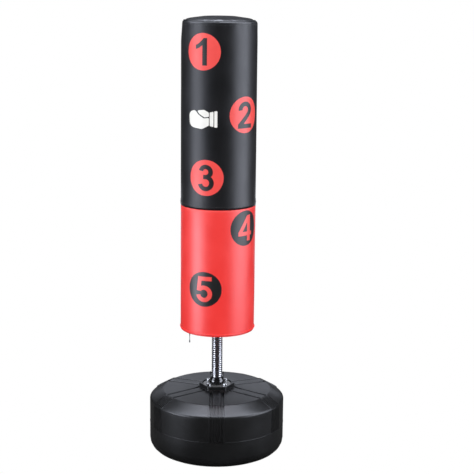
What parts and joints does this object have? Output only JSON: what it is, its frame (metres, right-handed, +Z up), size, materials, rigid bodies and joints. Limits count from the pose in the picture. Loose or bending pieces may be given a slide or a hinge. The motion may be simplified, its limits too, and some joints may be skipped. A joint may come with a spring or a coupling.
{
  "type": "free-standing boxing bag",
  "caption": "Free-standing heavy punching bag: padded black and red cylinder with numbered round targets on a coil-spring neck above a round ribbed ballast tank.",
  "frame": {"origin": "on the floor under the centre of the ballast tank", "axes": "+Z up along the bag's axis, -Y towards the side that the numbered targets face, +X to that side's right"},
  "size_m": [0.5551, 0.5588, 1.776],
  "materials": {
    "tank_plastic": "blow-moulded polyethylene, satin",
    "sand": "loose dry sand",
    "black_rubber": "soft rubber",
    "cap_plastic": "moulded, fine grain",
    "plate_paint": "semi-gloss paint",
    "brass_insert": "turned",
    "zinc_steel": "bright zinc plate",
    "socket_paint": "black powder coat",
    "gloss_ball": "polished",
    "spring_chrome": "polished",
    "plywood": "plywood",
    "core_plastic": "extruded",
    "foam": "closed-cell foam",
    "black_leatherette": "smooth coated fabric, low sheen",
    "red_leatherette": "smooth coated fabric, low sheen",
    "red_print": "printed vinyl",
    "black_print": "printed vinyl",
    "zip_nylon": "moulded teeth",
    "zip_metal": "nickel plate"
  },
  "bodies": {
    "base": {"base_tank": "tank_plastic", "ballast_sand": "sand", "anchor_plate": "plate_paint", "tank_inserts": "brass_insert", "anchor_washers": "zinc_steel", "anchor_bolts": "zinc_steel", "lower_spigot": "socket_paint", "lower_spring_clamp": "zinc_steel", "ball_cover_lower": "gloss_ball", "ball_cover_upper": "gloss_ball"},
    "cap_seal": {"cap_gasket": "black_rubber"},
    "cap": {"fill_cap": "cap_plastic"},
    "neck": {"neck_spring": "spring_chrome"},
    "zip_slider": {"zip_slider": "zip_metal"},
    "zip_pull": {"zip_pull": "zip_metal"},
    "bag": {"bag_socket": "socket_paint", "bottom_board": "plywood", "bottom_piping": "red_leatherette", "core_cap": "core_plastic", "core_screws": "zinc_steel", "core_tube": "core_plastic", "cover_bottom": "red_leatherette", "cover_lower": "red_leatherette", "cover_top": "black_leatherette", "cover_upper": "black_leatherette", "foam_core": "foam", "foam_wrap": "foam", "hole_binding": "black_leatherette", "socket_bolts": "zinc_steel", "socket_nuts": "zinc_steel", "target_1": "red_print", "target_2": "red_print", "target_3": "red_print", "target_4": "black_print", "target_5": "black_print", "top_pad": "foam", "top_piping": "black_leatherette", "upper_spigot": "socket_paint", "upper_spring_clamp": "zinc_steel", "zip_stops": "zip_metal", "zip_teeth_inner": "zip_nylon", "zip_teeth_outer": "zip_nylon"}
  },
  "joints": [
    {"name": "neck_bend_side", "type": "hinge", "parent": "base", "child": "neck", "pos_m": [0, 0, 0.36], "axis": [0, 1, 0], "range_deg": [-30, 30], "stiffness_Nm_per_rad": 550, "deforming": ["neck_spring"]},
    {"name": "neck_bend_fore", "type": "hinge", "parent": "neck", "child": "bag", "pos_m": [0, 0, 0.463], "axis": [1, 0, 0], "range_deg": [-30, 30], "stiffness_Nm_per_rad": 550},
    {"name": "zip_travel", "type": "hinge", "parent": "bag", "child": "zip_slider", "pos_m": [0, 0, 0.5074], "axis": [0, 0, 1], "range_deg": [0, 300]},
    {"name": "pull_swing", "type": "hinge", "parent": "zip_slider", "child": "zip_pull", "pos_m": [-0.11141, -0.07801, 0.5074], "axis": [0.5736, -0.8192, 0], "range_deg": [-75, 75]},
    {"name": "cap_turn", "type": "hinge", "parent": "cap_seal", "child": "cap", "pos_m": [0.1245, 0.21564, 0.23625], "axis": [0.251, 0.4347, 0.8649], "range_deg": [0, 1080]},
    {"name": "cap_lift", "type": "slide", "parent": "base", "child": "cap_seal", "axis": [0.251, 0.4347, 0.8649], "range_m": [0, 0.01201]}
  ],
  "couplings": [
    {"joint": "cap_lift", "follows": "cap_turn", "m_per_rad": 0.00063662}
  ]
}
